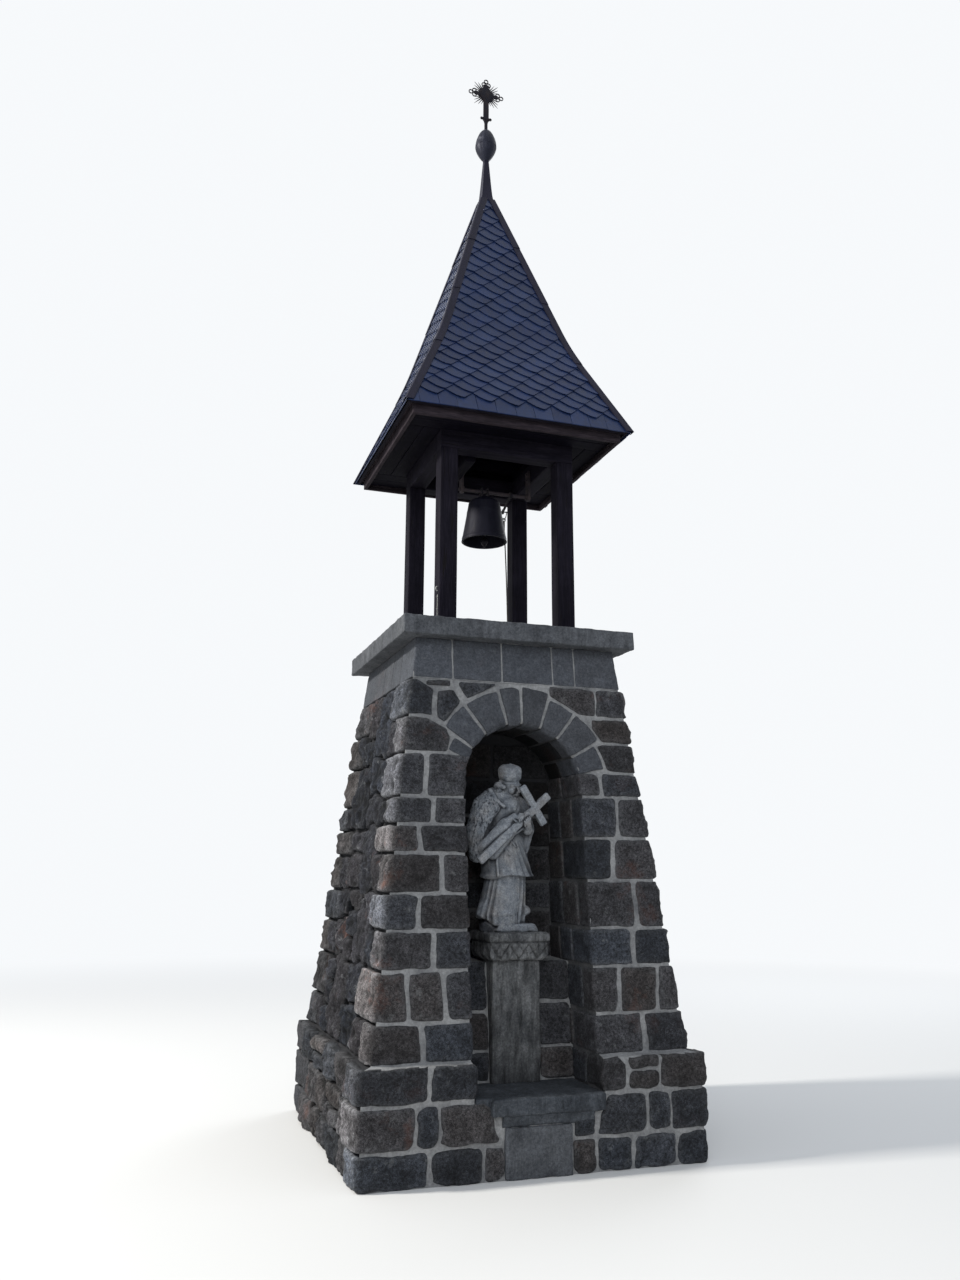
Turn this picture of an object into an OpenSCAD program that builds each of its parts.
// Small roadside bell tower: battered stone shaft with a statue niche, open timber belfry,
// bellcast slate roof with ball and cross, and a swinging bell. Millimetres, +Z up.
// The origin is the middle of the tower at ground level; the niche faces -Y.

/* [Plinth and ledge] */
// Width of the square plinth
plinth_w = 2018; // [1960:2:2200]
// Height of the plinth
plinth_h = 587; // [500:1:700]
// Height of the ledge slab's top above ground
ledge_top = 410; // [380:1:480]
// Thickness of the ledge slab
ledge_t = 88; // [60:1:110]
// How far the ledge slab stands out of the plinth
ledge_nose = 36; // [20:1:60]
// Left end of the ledge's nosing, measured left of the centre
ledge_left = 290; // [230:1:370]
// Right end of the ledge's nosing, measured right of the centre
ledge_right = 372; // [320:1:374]
// Height of the moulded stone under the ledge
moulding_h = 62; // [40:1:90]
// Left end of the moulded stone, measured left of the centre
moulding_left = 225; // [215:1:285]
// Right end of the moulded stone, measured right of the centre
moulding_right = 310; // [200:1:318]
// How far the moulded stone stands out of the plinth
moulding_nose = 20; // [5:1:35]
// How deep the moulded stone is let into the plinth
moulding_depth = 180; // [120:5:260]
// Left end of the base block, measured left of the centre
base_left = 210; // [150:1:214]
// Right end of the base block, measured right of the centre
base_right = 180; // [120:1:199]
// How far the base block stands out of the plinth
base_nose = 12; // [2:1:18]
// How deep the base block is let into the plinth
base_depth = 150; // [90:5:240]

/* [Shaft and cap] */
// Width of the step on top of the plinth
plinth_step = 67; // [40:1:110]
// Width of the battered shaft under the cap slab
shaft_head_w = 1320; // [1220:2:1460]
// Height of the battered shaft, from the plinth to the cap slab
shaft_h = 2416; // [2340:2:2600]
// Height of the dressed band at the top of the shaft
band_h = 258; // [180:2:300]
// Width of the cap slab
slab_w = 1530; // [1480:2:1640]
// Thickness of the cap slab
slab_t = 116; // [80:1:160]

/* [Niche] */
// Width of the niche
niche_w = 750; // [750:2:820]
// Distance from the tower's middle to the back of the niche
niche_back = 245; // [150:5:290]
// Masonry between the crown of the arch stones and the dressed band
arch_cover = 45; // [20:1:120]
// Depth of the ring of arch stones
ring_d = 215; // [150:1:220]
// How far the masonry beside the pedestal stops below the pedestal's capital
infill_drop = 5; // [2:1:190]
// How far the infill's face lies behind the shaft's face
infill_inset = 363; // [330:1:420]

/* [Pedestal and statue] */
// Width of the pedestal's shaft
pedestal_w = 300; // [240:2:340]
// Distance from the tower's middle to the pedestal's front face
pedestal_front = 630; // [600:1:680]
// Free height between the statue's cap and the crown of the arch
head_room = 229; // [150:1:290]
// Height of the pedestal's capital
capital_h = 160; // [130:1:161]
// Width of the capital's top slab
capital_w = 380; // [350:1:440]
// Thickness of the capital's top slab
capital_slab_h = 48; // [30:1:60]
// Height of the rounded underside of the capital
capital_under_h = 40; // [20:1:55]
// Distance from the tower's middle to the statue's axis
statue_axis = 500; // [470:1:530]
// Height of the statue with its rocky foot
statue_h = 1006; // [940:1:1060]

/* [Belfry timber] */
// Width of the square corner posts
post_w = 118; // [90:1:140]
// Distance across the outer faces of the posts
frame_w = 920; // [860:2:1000]
// How far the front right post stands out to the right of that
front_right_out = 27; // [5:1:30]
// Height of the posts
post_h = 1241; // [1200:1:1400]
// Width of the plates on the posts
plate_w = 118; // [90:1:118]
// Height of the plates on the posts
plate_h = 140; // [110:1:180]
// Width of the joists
joist_w = 80; // [50:1:100]
// Height of the joists
joist_h = 80; // [50:1:90]
// Width of the beam that carries the bell's left end
bell_beam_w = 70; // [50:1:80]
// Height of the beam that carries the bell's left end
bell_beam_h = 120; // [90:1:130]
// How far the bell beam hangs below the underside of the plates
bell_beam_drop = 30; // [10:1:40]
// Width of the hip rafters
rafter_w = 60; // [40:1:80]
// Depth of the hip rafters
rafter_d = 90; // [60:1:110]
// Width of the king post
king_w = 90; // [70:1:110]
// Length of the king post
king_len = 280; // [200:5:400]
// Thickness of the soffit boards
soffit_t = 20; // [12:1:30]
// Height of the fascia boards
fascia_h = 101; // [90:1:140]
// Thickness of the fascia boards
fascia_t = 25; // [18:1:32]
// How far the eave oversails the fascia
eave_drip = 53; // [45:1:80]

/* [Roof] */
// Width of the roof at the eave
eave_w = 1558; // [1480:2:1640]
// Height of the eave above the underside of the plates
eave_rise = 149; // [140:1:190]
// Width of the roof at the bellcast's bend
bend_w = 946; // [860:2:980]
// Height of the bend above the eave
bend_rise = 691; // [620:1:760]
// Width of the roof where the metal spire starts
apex_w = 92; // [86:2:110]
// Height of the metal spire's foot above the bend
apex_rise = 1400; // [1300:5:1600]
// Length of the rounding on each side of the bend
bend_round = 160; // [60:5:260]
// Thickness of boards and slates, measured level
roof_skin = 38; // [30:1:45]
// Width of each wing of the metal strips on the hips
flashing_w = 42; // [34:1:75]
// Thickness of the metal strips on the hips, measured level
flashing_t = 4; // [2:0.5:6]

/* [Spire, ball and cross] */
// Height of the metal spire
spire_h = 360; // [300:5:450]
// Width of the metal spire at its foot
spire_foot_w = 98; // [92:1:120]
// Width of the metal spire at its flare
spire_waist_w = 72; // [60:1:90]
// Height of the spire's flare
spire_flare_h = 90; // [50:5:140]
// Width of the metal spire at its tip
spire_tip_w = 33; // [26:1:44]
// Diameter of the finial ball
ball_d = 163; // [140:1:200]
// Height of the finial ball with its necks
ball_h = 285; // [240:1:320]
// Diameter of the ball's necks
ball_neck_d = 34; // [24:1:44]
// Height of the cross above the ball
cross_h = 455; // [400:1:500]
// Width of the cross over its trefoils
cross_w = 290; // [260:1:330]
// Height of the arms above the foot of the cross
cross_arm_z = 315; // [280:1:330]
// Width of the cross's stem
cross_stem_w = 46; // [30:1:60]
// Width of the cross's arms
cross_bar_w = 34; // [20:1:44]
// Height of the scrolled collar above the foot of the cross
cross_collar_z = 95; // [70:1:130]
// Width of the scrolled collar
cross_collar_w = 94; // [70:1:120]
// Thickness of the cross
cross_t = 12; // [8:1:20]
// Radius of the sun's disc at the crossing
sun_r = 54; // [44:1:66]
// Reach of the sun's longest rays
ray_r = 136; // [110:1:150]
// Outer radius of the trefoils' rings
trefoil_r = 19; // [15:1:23]
// Thickness of the iron in the trefoils' rings
trefoil_t = 6; // [5:1:8]

/* [Bell] */
// Height of the bell's axle above the cap slab
axle_up = 1136; // [1100:1:1150]
// Diameter of the axle
axle_d = 26; // [20:1:32]
// Diameter of the axle's collars
collar_d = 44; // [38:1:60]
// Width of the axle's collars
collar_w = 10; // [6:1:14]
// Radial clearance of the axle in its hangers
axle_gap = 0.06; // [0.03:0.01:0.1]
// Thickness of the hanger plates
hanger_t = 16; // [10:1:20]
// Width of the hanger plates
hanger_w = 56; // [48:1:80]
// Left face of the bell beam, measured left of the bell's middle
beam_left = 250; // [240:1:300]
// Length of the hangers' seat on the timber
hanger_seat = 90; // [60:1:100]
// Distance from the axle down to the crown of the bell
bell_drop = 45; // [34:1:60]
// Height of the bell
bell_h = 330; // [280:1:360]
// Diameter of the bell's mouth
mouth_d = 324; // [280:1:350]
// Diameter of the bell's shoulder
shoulder_d = 228; // [200:1:260]
// Thickness of the bell's lip
lip_t = 14; // [10:1:18]
// Thickness of the bell's waist
waist_t = 9; // [7:1:10]
// Thickness of the crown of the bell
crown_t = 14; // [10:1:20]
// Distance from the bell's middle to each strap
strap_x = 22; // [18:1:34]
// Thickness of the straps
strap_t = 8; // [5:1:12]
// Width of the straps
strap_w = 46; // [40:1:60]
// Thickness of the plate under the straps
strap_foot_t = 8; // [5:1:12]
// Diameter of the clapper's pin
clapper_pin_d = 12; // [9:1:16]
// Distance from the underside of the crown to the clapper's pin
clapper_drop = 34; // [26:1:40]
// Length of the clapper from its pin to the middle of its ball
clapper_len = 280; // [250:1:300]
// Diameter of the clapper's ball
clapper_ball_d = 52; // [40:1:60]
// Diameter of the clapper's stem
clapper_stem_d = 15; // [10:1:20]
// Length of the clapper's tail below the middle of its ball
clapper_tail = 44; // [36:1:60]
// Distance from the bell's middle to the lever
lever_x = 200; // [190:1:240]
// Reach of the lever from the axle to its eye
lever_len = 178; // [150:1:200]
// How far the lever droops below level
lever_droop = 23; // [10:1:40]
// Thickness of the lever
lever_t = 9; // [6:1:14]
// Height of the lever's bar
lever_w = 22; // [16:1:30]
// Outer diameter of the lever's eye
lever_eye_d = 36; // [30:1:44]
// Hole in the lever's eye
lever_hole_d = 16; // [10:1:18]
// Diameter of the bell rope
rope_d = 9; // [8:0.5:14]
// Width of the rope's cleat
cleat_w = 60; // [44:1:80]
// Height of the rope's cleat
cleat_h = 26; // [16:1:40]

/* [Hidden] */

// Small gap between pieces that stand side by side without touching
seat_gap = 0.3;
// Overshoot of cutting bodies
over = 10;

plinth_half = plinth_w / 2;
shaft_foot = plinth_half - plinth_step;
shaft_head = shaft_head_w / 2;
slab_half = slab_w / 2;
niche_half = niche_w / 2;
ledge_z = ledge_top - ledge_t;
moulding_z = ledge_z - moulding_h;
slab_z = plinth_h + shaft_h;
band_z = slab_z - band_h;
spring_z = band_z - arch_cover - ring_d - niche_half;
deck_z = slab_z + slab_t;
batter_deg = atan((shaft_foot - shaft_head) / shaft_h);

pedestal_top = spring_z + niche_half - head_room - statue_h;
capital_z = pedestal_top - capital_h;
infill_top = capital_z - infill_drop;
capital_foot_w = (pedestal_w + capital_w) / 2 - 12;
capital_band_w = capital_w - 26;

frame_half = frame_w / 2;
frame_inner = frame_half - plate_w;
plate_z = deck_z + post_h;
plate_top = plate_z + plate_h;
joist_axis = frame_half - post_w / 2;
joist_top = plate_top + joist_h;
cross_joist_top = joist_top + joist_h;

eave_half = eave_w / 2;
bend_half = bend_w / 2;
apex_half = apex_w / 2;
eave_z = plate_z + eave_rise;
bend_z = eave_z + bend_rise;
apex_z = bend_z + apex_rise;
low_slope = bend_rise / (eave_half - bend_half);
high_slope = apex_rise / (bend_half - apex_half);
fascia_half = eave_half - eave_drip;
fascia_inner = fascia_half - fascia_t;
fascia_top = eave_z + (eave_half - roof_skin - fascia_half) * low_slope;

// Half width of the lower, flatter roof plane's upper side at a height
function low_half(z) = eave_half - (z - eave_z) / low_slope;
// Half width of the upper, steeper roof plane's upper side at a height
function high_half(z) = bend_half - (z - bend_z) / high_slope;

// Slope of a hip, its lean off the vertical and its distance from the axis at a height
hip_lean = atan(sqrt(2) / high_slope);
function hip_dist(z) = sqrt(2) * (high_half(z) - roof_skin) - rafter_w / 2;
king_half = king_w / 2;
king_top = bend_z + (bend_half - roof_skin - king_half * sqrt(2)) * high_slope;

spire_top = apex_z + spire_h;
ball_top = spire_top + ball_h;

axle_z = deck_z + axle_up;
hanger_left_x = bell_beam_w - beam_left;
hanger_right_x = frame_inner - hanger_t;
bell_top = axle_z - bell_drop;
mouth_z = bell_top - bell_h;
mouth_r = mouth_d / 2;
shoulder_r = shoulder_d / 2;
pin_z = bell_top - crown_t - clapper_drop;
clapper_eye_w = 12;
clapper_eye_r = clapper_pin_d / 2 + 8;
clapper_lug_gap = 1.5;
clapper_lug_t = 8;
lever_y = lever_len * cos(lever_droop);
lever_z = axle_z - lever_len * sin(lever_droop);

// The rope hangs from the lever's eye to the cleat on the cap slab
rope_top_gap = lever_eye_d / 2 + seat_gap;
rope_steps = 12;
rope_sides = 8;
rope_slack = 14;
cleat_x = lever_x + 35;
cleat_y = lever_y - 12;
cleat_hole_d = rope_d + 2 * seat_gap;

// The region inside one leaning face of the shaft, moved in by an inset
module inside_lean(inset) {
  reach = 2 * plinth_w;
  translate([0, inset - shaft_foot, plinth_h])
    rotate([-batter_deg, 0, 0])
      translate([-reach, 0, -reach])
        cube(2 * reach);
}

// A slice of the battered shaft between two heights
module battered_block(z0, z1) {
  intersection() {
    translate([-shaft_foot, -shaft_foot, z0])
      cube([2 * shaft_foot, 2 * shaft_foot, z1 - z0]);
    inside_lean(0);
    rotate([0, 0, 90]) inside_lean(0);
    rotate([0, 0, 180]) inside_lean(0);
    rotate([0, 0, 270]) inside_lean(0);
  }
}

// A box from one corner to the other
module span(low, high) {
  translate(low) cube(high - low);
}

// A round bar along Y that covers the front of the tower, on the arch's centre
module arch_cylinder(radius) {
  translate([0, 0, spring_z])
    rotate([90, 0, 0])
      cylinder(r = radius, h = plinth_w, $fn = 96);
}

module plinth() {
  color([0.27, 0.28, 0.30])
    difference() {
      span([-plinth_half, -plinth_half, 0], [plinth_half, plinth_half, plinth_h]);
      span([-niche_half, -plinth_half - over, ledge_z], [niche_half, -niche_back, plinth_h + over]);
      span([-moulding_left, -plinth_half - over, moulding_z],
           [moulding_right, moulding_depth - plinth_half, ledge_z + over]);
      span([-base_left, -plinth_half - over, -over],
           [base_right, base_depth - plinth_half, moulding_z + over]);
    }
}

module left_pier() {
  color([0.25, 0.26, 0.28])
    intersection() {
      battered_block(plinth_h, spring_z);
      span([-plinth_half, -plinth_half, 0], [-niche_half, -niche_back, slab_z]);
    }
}

module right_pier() {
  color([0.25, 0.26, 0.28])
    intersection() {
      battered_block(plinth_h, spring_z);
      span([niche_half, -plinth_half, 0], [plinth_half, -niche_back, slab_z]);
    }
}

module rear_wall() {
  color([0.26, 0.27, 0.29])
    intersection() {
      battered_block(plinth_h, band_z);
      span([-plinth_half, -niche_back, 0], [plinth_half, plinth_half, slab_z]);
    }
}

// The front half of the shaft between the springing and the dressed band
module arch_course() {
  intersection() {
    battered_block(spring_z, band_z);
    span([-plinth_half, -plinth_half, 0], [plinth_half, -niche_back, slab_z]);
  }
}

module arch_head() {
  color([0.25, 0.26, 0.28])
    difference() {
      arch_course();
      arch_cylinder(niche_half + ring_d);
    }
}

module niche_arch() {
  color([0.33, 0.34, 0.36])
    difference() {
      intersection() {
        arch_course();
        arch_cylinder(niche_half + ring_d);
      }
      arch_cylinder(niche_half);
    }
}

module top_band() {
  color([0.31, 0.32, 0.34]) battered_block(band_z, slab_z);
}

module cap_slab() {
  color([0.42, 0.43, 0.43])
    span([-slab_half, -slab_half, slab_z], [slab_half, slab_half, deck_z]);
}

module ledge_slab() {
  color([0.34, 0.35, 0.36]) {
    span([-niche_half, -plinth_half, ledge_z], [niche_half, -niche_back, ledge_top]);
    span([-ledge_left, -plinth_half - ledge_nose, ledge_z],
         [ledge_right, -plinth_half + over, ledge_top]);
  }
}

module ledge_moulding() {
  color([0.33, 0.34, 0.34])
    span([-moulding_left, -plinth_half - moulding_nose, moulding_z],
         [moulding_right, moulding_depth - plinth_half, ledge_z]);
}

module base_block() {
  color([0.40, 0.40, 0.39])
    span([-base_left, -plinth_half - base_nose, 0],
         [base_right, base_depth - plinth_half, moulding_z]);
}

// Masonry between the pedestal and one jamb of the niche
module infill(x0, x1) {
  color([0.28, 0.29, 0.31])
    intersection() {
      span([x0, -plinth_half, ledge_top], [x1, -niche_back, infill_top]);
      inside_lean(infill_inset);
    }
}

module niche_infill_left() {
  infill(-niche_half, -pedestal_w / 2);
}

module niche_infill_right() {
  infill(pedestal_w / 2, niche_half);
}

module pedestal_shaft() {
  color([0.38, 0.35, 0.31])
    span([-pedestal_w / 2, -pedestal_front, ledge_top], [pedestal_w / 2, -niche_back, capital_z]);
}

// A square slice centred on the statue's axis, tapering from one width to another
module capital_slice(z0, z1, w0, w1) {
  sheet_h = 0.01;
  translate([0, -statue_axis, 0])
    hull() {
      translate([-w0 / 2, -w0 / 2, z0]) cube([w0, w0, sheet_h]);
      translate([-w1 / 2, -w1 / 2, z1 - sheet_h]) cube([w1, w1, sheet_h]);
    }
}

module pedestal_capital() {
  under_top = capital_z + capital_under_h;
  slab_bottom = pedestal_top - capital_slab_h;
  color([0.42, 0.40, 0.36]) {
    capital_slice(capital_z, under_top, capital_foot_w, capital_band_w);
    capital_slice(under_top, slab_bottom, capital_band_w, capital_band_w);
    capital_slice(slab_bottom, pedestal_top, capital_w, capital_w);
  }
}

// An egg-shaped lump of the statue, with its middle and its widths as shares of the height
module lump(at, size) {
  translate(at) scale(size / 2) sphere(r = 1, $fn = 20);
}

// The skin between two lumps
module limb(at_a, size_a, at_b, size_b) {
  hull() {
    lump(at_a, size_a);
    lump(at_b, size_b);
  }
}

// An upright slice of cloth between two ovals
module drape(at_a, size_a, at_b, size_b) {
  sheet_h = 0.004;
  hull() {
    translate(at_a) scale([size_a[0], size_a[1], 1]) cylinder(d = 1, h = sheet_h, $fn = 28);
    translate(at_b) scale([size_b[0], size_b[1], 1]) cylinder(d = 1, h = sheet_h, $fn = 28);
  }
}

// The statue's rocky foot and its cloth, in shares of the statue's height
module statue_robe() {
  span([-0.125, -0.115, 0], [0.145, 0.115, 0.055]);
  drape([-0.06, 0, 0.045], [0.33, 0.23], [-0.055, 0, 0.12], [0.345, 0.25]);
  drape([-0.055, 0, 0.12], [0.345, 0.25], [-0.045, 0, 0.31], [0.29, 0.22]);
  drape([-0.035, 0, 0.305], [0.335, 0.26], [-0.025, 0, 0.5], [0.29, 0.25]);
  drape([-0.025, 0, 0.5], [0.29, 0.25], [-0.02, 0, 0.68], [0.28, 0.24]);
}

// The statue's shoulders, cape and arms
module statue_cape() {
  limb([-0.12, 0, 0.77], [0.2, 0.22, 0.14], [0.05, 0, 0.765], [0.18, 0.22, 0.14]);
  limb([-0.19, -0.01, 0.7], [0.15, 0.2, 0.2], [-0.235, -0.02, 0.52], [0.14, 0.2, 0.2]);
  limb([-0.235, -0.02, 0.52], [0.14, 0.2, 0.2], [-0.215, -0.05, 0.44], [0.13, 0.13, 0.1]);
  limb([-0.215, -0.055, 0.45], [0.11, 0.11, 0.1], [-0.02, -0.12, 0.61], [0.08, 0.08, 0.07]);
  limb([0.09, 0, 0.71], [0.14, 0.2, 0.18], [0.085, -0.02, 0.55], [0.13, 0.17, 0.14]);
  limb([0.09, -0.02, 0.56], [0.12, 0.14, 0.12], [0.115, -0.1, 0.6], [0.075, 0.08, 0.09]);
}

// The statue's head with hair, short beard and four-cornered cap
module statue_head() {
  limb([-0.01, 0, 0.8], [0.14, 0.14, 0.1], [-0.005, -0.005, 0.85], [0.12, 0.13, 0.08]);
  lump([-0.005, -0.01, 0.868], [0.135, 0.155, 0.155]);
  limb([-0.06, 0.015, 0.85], [0.09, 0.12, 0.11], [0.035, 0.02, 0.85], [0.09, 0.12, 0.1]);
  drape([-0.006, 0.005, 0.9], [0.125, 0.135], [-0.006, 0.005, 0.972], [0.162, 0.155]);
  drape([-0.006, 0.005, 0.972], [0.162, 0.155], [-0.006, 0.005, 0.996], [0.1, 0.1]);
}

// The cross that the statue carries on its arm
module statue_crucifix() {
  stem_len = 0.6;
  stem_w = 0.042;
  stem_d = 0.034;
  bar_len = 0.25;
  bar_at = 0.475;
  lean = 49;
  translate([-0.205, -0.175, 0.42])
    rotate([0, lean, 0]) {
      translate([-stem_w / 2, 0, 0]) cube([stem_w, stem_d, stem_len]);
      translate([-bar_len / 2, 0, bar_at]) cube([bar_len, stem_d, stem_w]);
    }
}

module statue() {
  color([0.55, 0.53, 0.50])
    translate([0, -statue_axis, pedestal_top])
      scale(statue_h) {
        statue_robe();
        statue_cape();
        statue_head();
        statue_crucifix();
      }
}

module corner_posts() {
  axis_at = frame_half - post_w / 2;
  color([0.13, 0.11, 0.10])
    for (x = [-1, 1], y = [-1, 1]) {
      out = x > 0 && y < 0 ? front_right_out : 0;
      translate([x * axis_at + out - post_w / 2, y * axis_at - post_w / 2, deck_z])
        cube([post_w, post_w, post_h]);
    }
}

module plates_front_back() {
  color([0.13, 0.11, 0.10]) {
    for (turn = [0, 180])
      rotate([0, 0, turn])
        span([-frame_half, -frame_half, plate_z], [frame_half, -frame_inner, plate_top]);
    // the front plate reaches over the post that stands out
    span([frame_half - post_w, -frame_half, plate_z],
         [frame_half + front_right_out, -frame_inner, plate_top - soffit_t]);
  }
}

module plates_sides() {
  color([0.13, 0.11, 0.10])
    for (turn = [0, 180])
      rotate([0, 0, turn])
        span([frame_inner, -frame_inner, plate_z], [frame_half, frame_inner, plate_top]);
}

module bell_beam() {
  color([0.13, 0.11, 0.10])
    span([-beam_left, -frame_inner, plate_z - bell_beam_drop],
         [bell_beam_w - beam_left, frame_inner, plate_z - bell_beam_drop + bell_beam_h]);
}

module ceiling_joists() {
  color([0.14, 0.12, 0.10])
    for (side = [-1, 1])
      translate([side * joist_axis - joist_w / 2, -fascia_inner, plate_top])
        cube([joist_w, 2 * fascia_inner, joist_h]);
}

module cross_joists() {
  reach = low_half(cross_joist_top) - roof_skin - seat_gap;
  color([0.14, 0.12, 0.10])
    for (side = [-1, 1])
      translate([-reach, side * joist_axis - joist_w / 2, joist_top])
        cube([2 * reach, joist_w, joist_h]);
}

module soffit_front_back() {
  color([0.12, 0.10, 0.09])
    for (turn = [0, 180])
      rotate([0, 0, turn])
        span([-fascia_inner, -fascia_inner, plate_top - soffit_t],
             [fascia_inner, -frame_half, plate_top]);
}

module soffit_sides() {
  color([0.12, 0.10, 0.09])
    for (turn = [0, 180])
      rotate([0, 0, turn])
        span([frame_half, -frame_half, plate_top - soffit_t],
             [fascia_inner, frame_half, plate_top]);
}

module fascia_front_back() {
  color([0.15, 0.12, 0.10])
    for (turn = [0, 180])
      rotate([0, 0, turn])
        span([-fascia_half, -fascia_half, fascia_top - fascia_h],
             [fascia_half, -fascia_inner, fascia_top]);
}

module fascia_sides() {
  color([0.15, 0.12, 0.10])
    for (turn = [0, 180])
      rotate([0, 0, turn])
        span([fascia_inner, -fascia_inner, fascia_top - fascia_h],
             [fascia_half, fascia_inner, fascia_top]);
}

// The roof's outline from eave to apex, as [half width, height], with the bend rounded
function along(a, b, d) = a + (b - a) * d / norm(b - a);
function rounded(a, b, c, t) = (1 - t) * (1 - t) * a + 2 * t * (1 - t) * b + t * t * c;
eave_point = [eave_half, eave_z];
bend_point = [bend_half, bend_z];
apex_point = [apex_half, apex_z];
round_low = along(bend_point, eave_point, bend_round);
round_high = along(bend_point, apex_point, bend_round);
roof_line = concat([eave_point],
                   [for (t = [0 : 0.2 : 1]) rounded(round_low, bend_point, round_high, t)],
                   [apex_point]);

// A skin on the front roof plane between two level offsets, as wide as the eave
module roof_sheet(inner, outer) {
  rotate([90, 0, 90])
    linear_extrude(height = eave_w + 2 * over, center = true)
      polygon(concat([for (p = roof_line) [-p[0] - outer, p[1]]],
                     [for (i = [len(roof_line) - 1 : -1 : 0])
                       [-roof_line[i][0] - inner, roof_line[i][1]]]));
}

// The part of plan that belongs to the front roof plane
module front_sector() {
  reach = eave_half + over;
  translate([0, 0, eave_z - over])
    linear_extrude(height = bend_rise + apex_rise + 2 * over)
      polygon([[0, 0], [-reach, -reach], [reach, -reach]]);
}

// One of the four slated planes, from its boards to its slates
module roof_plane(turn) {
  color([0.20, 0.23, 0.28])
    rotate([0, 0, turn])
      intersection() {
        roof_sheet(-roof_skin, 0);
        front_sector();
      }
}

module roof_front() {
  roof_plane(0);
}

module roof_right() {
  roof_plane(90);
}

module roof_back() {
  roof_plane(180);
}

module roof_left() {
  roof_plane(270);
}

// One hip rafter, from the joists to the king post
module hip_rafter() {
  foot_z = joist_top + rafter_d;
  head_z = bend_z + (bend_half - roof_skin) * high_slope;
  bar_len = (head_z - foot_z) / cos(hip_lean);
  intersection() {
    translate([hip_dist(foot_z), 0, foot_z])
      rotate([0, -hip_lean, 0])
        translate([-rafter_d, -rafter_w / 2, -rafter_d])
          cube([rafter_d, rafter_w, bar_len + rafter_d]);
    span([king_half, -rafter_w, foot_z], [eave_w, rafter_w, king_top]);
  }
}

module hip_rafters() {
  color([0.16, 0.13, 0.11])
    for (turn = [45 : 90 : 315])
      rotate([0, 0, turn]) hip_rafter();
}

module king_post() {
  color([0.16, 0.13, 0.11])
    rotate([0, 0, 45])
      span([-king_half, -king_half, king_top - king_len], [king_half, king_half, king_top]);
}

// One wing of the metal strip on the front left hip
module flashing_wing() {
  reach = eave_half + over;
  intersection() {
    roof_sheet(0, flashing_t);
    front_sector();
    translate([0, 0, eave_z - over])
      linear_extrude(height = bend_rise + apex_rise + 2 * over)
        polygon([[0, 0], [-reach, -reach], [flashing_w - reach, -reach], [flashing_w, 0]]);
  }
}

module hip_flashings() {
  color([0.24, 0.25, 0.26])
    for (turn = [0 : 90 : 270])
      rotate([0, 0, turn]) {
        flashing_wing();
        mirror([1, -1, 0]) flashing_wing();
      }
}

// A square tapering length of the spire
module spire_length(z0, z1, w0, w1) {
  translate([0, 0, z0])
    linear_extrude(height = z1 - z0, scale = w1 / w0)
      square(w0, center = true);
}

module spire_cap() {
  color([0.25, 0.24, 0.25]) {
    spire_length(apex_z, apex_z + spire_flare_h, spire_foot_w, spire_waist_w);
    spire_length(apex_z + spire_flare_h, spire_top, spire_waist_w, spire_tip_w);
  }
}

// Half width of the ball at a share of its height, widest just below the middle and fuller above
function ball_radius(u) =
  ball_neck_d / 2
  + (ball_d - ball_neck_d) / 2 * pow(sin(180 * pow(u, 0.844)), u < 0.44 ? 1.3 : 0.66);

module finial_ball() {
  steps = 18;
  color([0.30, 0.27, 0.24])
    translate([0, 0, spire_top])
      rotate_extrude($fn = 48)
        polygon(concat([[0, 0]],
                       [for (i = [0 : steps]) [ball_radius(i / steps), ball_h * i / steps]],
                       [[0, ball_h]]));
}

// Three rings on the end of an arm that stops at the origin, with the outer ring along +Y
module trefoil() {
  places = [[trefoil_r - trefoil_t / 2, 0], [trefoil_t / 2 - trefoil_r, 0],
            [0, 1.6 * trefoil_r]];
  difference() {
    union() {
      for (p = places) translate(p) circle(r = trefoil_r, $fn = 28);
    }
    for (p = places) translate(p) circle(r = trefoil_r - trefoil_t, $fn = 28);
  }
}

// A disc with a fan of pointed rays in each quarter, the longest in the middle
module sun() {
  ray_foot = 9;
  ray_step = 11;
  circle(r = sun_r, $fn = 40);
  for (quarter = [45 : 90 : 315], i = [-2 : 2])
    rotate(quarter + i * ray_step)
      polygon([[0, -ray_foot], [ray_r * (1 - 0.13 * abs(i)), 0], [0, ray_foot]]);
}

module cross() {
  tip = 2.6 * trefoil_r;
  arm = cross_w / 2 - tip;
  neck_w = cross_stem_w / 2;
  lobe_r = 17;
  color([0.16, 0.15, 0.15])
    translate([0, cross_t / 2, ball_top])
      rotate([90, 0, 0])
        linear_extrude(height = cross_t) {
          translate([-neck_w / 2, 0]) square([neck_w, cross_collar_z]);
          translate([-cross_stem_w / 2, cross_collar_z])
            square([cross_stem_w, cross_h - tip - cross_collar_z]);
          for (side = [-1, 1])
            translate([side * (cross_collar_w / 2 - lobe_r), cross_collar_z])
              circle(r = lobe_r, $fn = 28);
          translate([lobe_r - cross_collar_w / 2, cross_collar_z - lobe_r])
            square([cross_collar_w - 2 * lobe_r, 1.6 * lobe_r]);
          translate([0, cross_arm_z]) {
            sun();
            translate([-arm, -cross_bar_w / 2]) square([2 * arm, cross_bar_w]);
            translate([arm, 0]) rotate(-90) trefoil();
            translate([-arm, 0]) rotate(90) trefoil();
          }
          translate([0, cross_h - tip]) trefoil();
        }
}

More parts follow.
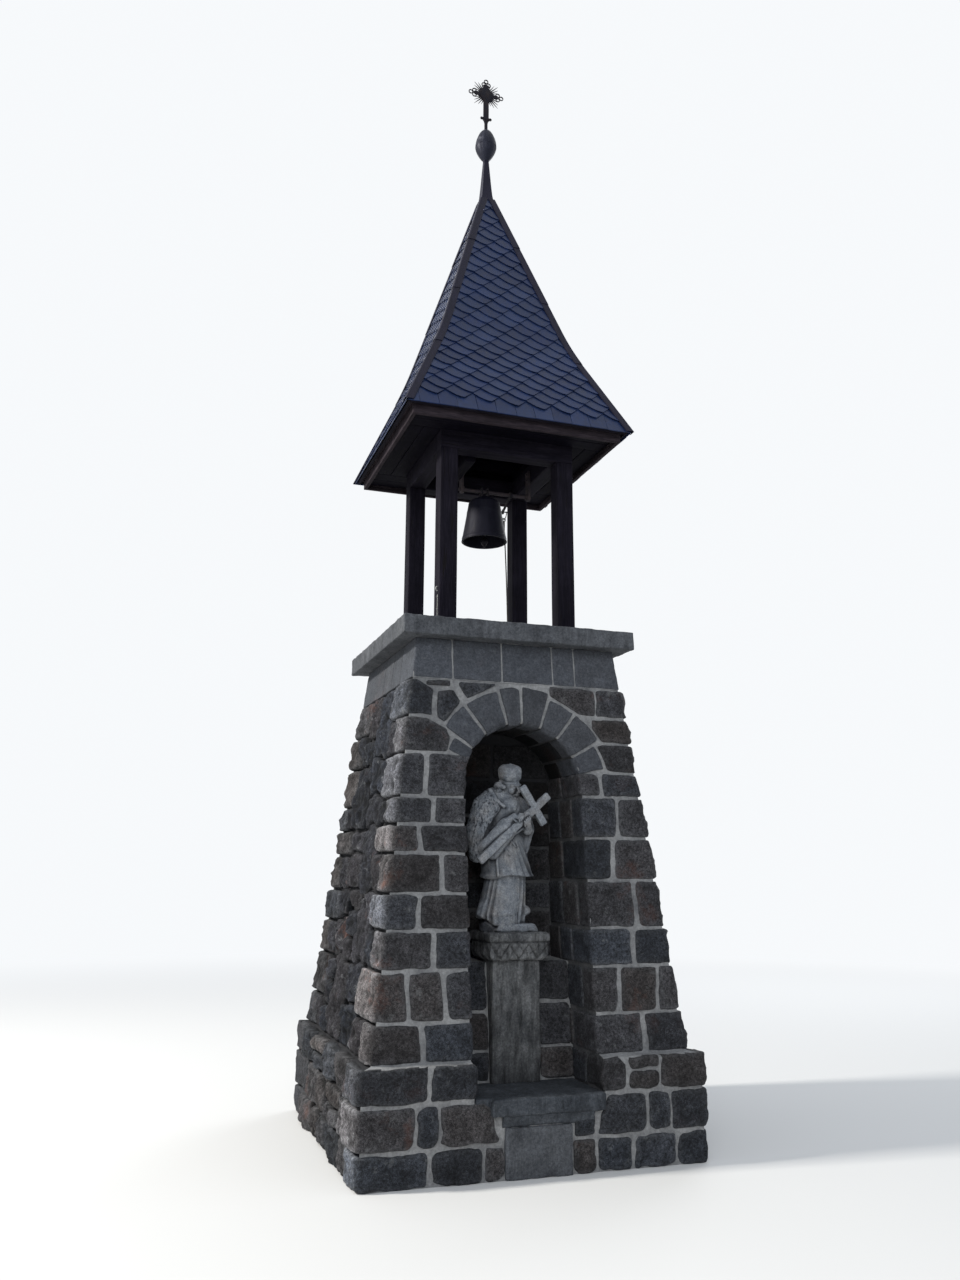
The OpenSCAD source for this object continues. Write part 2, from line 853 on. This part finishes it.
// A plate that hangs beside a timber and carries one end of the axle
module hanger(x0, seat_z) {
  difference() {
    union() {
      span([x0, -hanger_w / 2, axle_z], [x0 + hanger_t, hanger_w / 2, seat_z + hanger_seat]);
      translate([x0, 0, axle_z]) rotate([0, 90, 0]) cylinder(d = hanger_w, h = hanger_t, $fn = 48);
    }
    translate([x0 - over, 0, axle_z])
      rotate([0, 90, 0]) cylinder(d = axle_d + 2 * axle_gap, h = hanger_t + 2 * over, $fn = 48);
  }
}

module bell_hangers() {
  color([0.22, 0.19, 0.17]) {
    hanger(hanger_left_x, plate_z - bell_beam_drop);
    hanger(hanger_right_x, plate_z);
  }
}

// A round bar along X on the axle's line
module axle_bar(x0, x1, d) {
  translate([x0, 0, axle_z]) rotate([0, 90, 0]) cylinder(d = d, h = x1 - x0, $fn = 48);
}

module bell_axle() {
  end_play = 1;
  stub = 12;
  left_face = hanger_left_x + hanger_t + end_play;
  right_face = hanger_right_x - end_play;
  color([0.24, 0.20, 0.18]) {
    axle_bar(hanger_left_x - stub, frame_inner + stub, axle_d);
    axle_bar(left_face, left_face + collar_w, collar_d);
    axle_bar(right_face - collar_w, right_face, collar_d);
  }
}

module bell_straps() {
  strap_top = axle_z + axle_d / 2 + 14;
  color([0.20, 0.17, 0.15])
    difference() {
      union() {
        for (side = [-1, 1])
          translate([side * strap_x - strap_t / 2, -strap_w / 2, bell_top])
            cube([strap_t, strap_w, strap_top - bell_top]);
        span([-strap_x - strap_t / 2, -strap_w / 2, bell_top],
             [strap_x + strap_t / 2, strap_w / 2, bell_top + strap_foot_t]);
      }
      axle_bar(-strap_x - strap_t, strap_x + strap_t, axle_d + 2 * axle_gap);
    }
}

// Outer radius of the bell at a share of the way up from mouth to shoulder
function bell_radius(u) = mouth_r + (shoulder_r - mouth_r) * pow(u, 0.92);
// Wall of the bell at the same place
function bell_wall(u) = waist_t + (lip_t - waist_t) * pow(1 - u, 3);

module bell() {
  steps = 14;
  shoulder_h = bell_h - 56;
  shoulder_round = 5;
  flat_r = shoulder_r - 44;
  inner_top = bell_h - crown_t;
  outer = [for (i = [0 : steps]) [bell_radius(i / steps), shoulder_h * i / steps]];
  crown = [for (i = [1 : shoulder_round])
            let (a = 90 * i / shoulder_round)
            [flat_r + (shoulder_r - flat_r) * cos(a), shoulder_h + (bell_h - shoulder_h) * sin(a)]];
  inner = [for (i = [steps : -1 : 0])
            [bell_radius(i / steps) - bell_wall(i / steps), shoulder_h * i / steps]];
  inner_crown = [for (i = [shoulder_round : -1 : 1])
                  let (a = 90 * i / shoulder_round, r = shoulder_r - waist_t)
                  [flat_r + (r - flat_r) * cos(a),
                   shoulder_h + (inner_top - shoulder_h) * sin(a)]];
  lug_x = clapper_eye_w / 2 + clapper_lug_gap;
  color([0.27, 0.24, 0.22]) {
    translate([0, 0, mouth_z])
      rotate_extrude($fn = 96)
        polygon(concat(outer, crown, [[0, bell_h], [0, inner_top]], inner_crown, inner));
    for (side = [0, 1])
      mirror([side, 0, 0])
        span([lug_x, -clapper_eye_r, pin_z - clapper_eye_r],
             [lug_x + clapper_lug_t, clapper_eye_r, bell_top - crown_t / 2]);
    translate([-lug_x - clapper_lug_t, 0, pin_z])
      rotate([0, 90, 0]) cylinder(d = clapper_pin_d, h = 2 * (lug_x + clapper_lug_t), $fn = 32);
  }
}

module clapper() {
  ball_z = pin_z - clapper_len;
  color([0.20, 0.18, 0.17])
    difference() {
      union() {
        translate([-clapper_eye_w / 2, 0, pin_z])
          rotate([0, 90, 0]) cylinder(r = clapper_eye_r, h = clapper_eye_w, $fn = 32);
        translate([0, 0, ball_z - clapper_tail])
          cylinder(d = clapper_stem_d, h = clapper_len + clapper_tail - clapper_pin_d, $fn = 32);
        translate([0, 0, ball_z]) sphere(d = clapper_ball_d, $fn = 48);
      }
      translate([-clapper_eye_w, 0, pin_z])
        rotate([0, 90, 0])
          cylinder(d = clapper_pin_d + 2 * axle_gap, h = 2 * clapper_eye_w, $fn = 32);
    }
}

module bell_lever() {
  hub_d = axle_d + 22;
  bar_from = axle_d / 2 + 4;
  color([0.22, 0.19, 0.17])
    difference() {
      union() {
        axle_bar(lever_x - lever_t, lever_x + lever_t, hub_d);
        translate([lever_x, 0, axle_z])
          rotate([-lever_droop, 0, 0])
            translate([-lever_t / 2, bar_from, -lever_w / 2])
              cube([lever_t, lever_len - bar_from, lever_w]);
        translate([lever_x - lever_t / 2, lever_y, lever_z])
          rotate([0, 90, 0]) cylinder(d = lever_eye_d, h = lever_t, $fn = 40);
      }
      axle_bar(lever_x - 2 * lever_t, lever_x + 2 * lever_t, axle_d + 2 * axle_gap);
      translate([lever_x - lever_t, lever_y, lever_z])
        rotate([0, 90, 0]) cylinder(d = lever_hole_d, h = 2 * lever_t, $fn = 40);
    }
}

// The rope's route from the lever's eye to the cleat, with a light sag to the front
function rope_point(t) =
  let (top = [lever_x, lever_y, lever_z - rope_top_gap], foot = [cleat_x, cleat_y, deck_z + seat_gap])
  top + (foot - top) * t - [0, rope_slack * sin(180 * t), 0];

module bell_rope() {
  ring = [for (i = [0 : rope_sides - 1])
           let (a = 360 * i / rope_sides)
           rope_d / 2 * [cos(a), sin(a), 0]];
  points = [for (i = [0 : rope_steps], r = ring) rope_point(i / rope_steps) + r];
  sides = [for (i = [0 : rope_steps - 1], j = [0 : rope_sides - 1])
            let (k = (j + 1) % rope_sides, a = i * rope_sides, b = a + rope_sides)
            [a + j, b + j, b + k, a + k]];
  top = [for (j = [0 : rope_sides - 1]) j];
  foot = [for (j = [rope_sides - 1 : -1 : 0]) rope_steps * rope_sides + j];
  color([0.45, 0.42, 0.36]) polyhedron(points, concat([top], sides, [foot]));
}

module rope_cleat() {
  color([0.20, 0.18, 0.17])
    difference() {
      span([cleat_x - cleat_w / 2, cleat_y - cleat_w / 4, deck_z],
           [cleat_x + cleat_w / 2, cleat_y + cleat_w / 4, deck_z + cleat_h]);
      translate([cleat_x, cleat_y, deck_z - over])
        cylinder(d = cleat_hole_d + rope_d, h = cleat_h + 2 * over, $fn = 32);
    }
}

plinth();
left_pier();
right_pier();
rear_wall();
arch_head();
niche_arch();
top_band();
cap_slab();
ledge_slab();
ledge_moulding();
base_block();
niche_infill_left();
niche_infill_right();
pedestal_shaft();
pedestal_capital();
statue();
corner_posts();
plates_front_back();
plates_sides();
bell_beam();
ceiling_joists();
cross_joists();
soffit_front_back();
soffit_sides();
fascia_front_back();
fascia_sides();
roof_front();
roof_right();
roof_back();
roof_left();
hip_rafters();
king_post();
hip_flashings();
spire_cap();
finial_ball();
cross();
bell_hangers();
bell_axle();
bell_straps();
bell();
clapper();
bell_lever();
bell_rope();
rope_cleat();
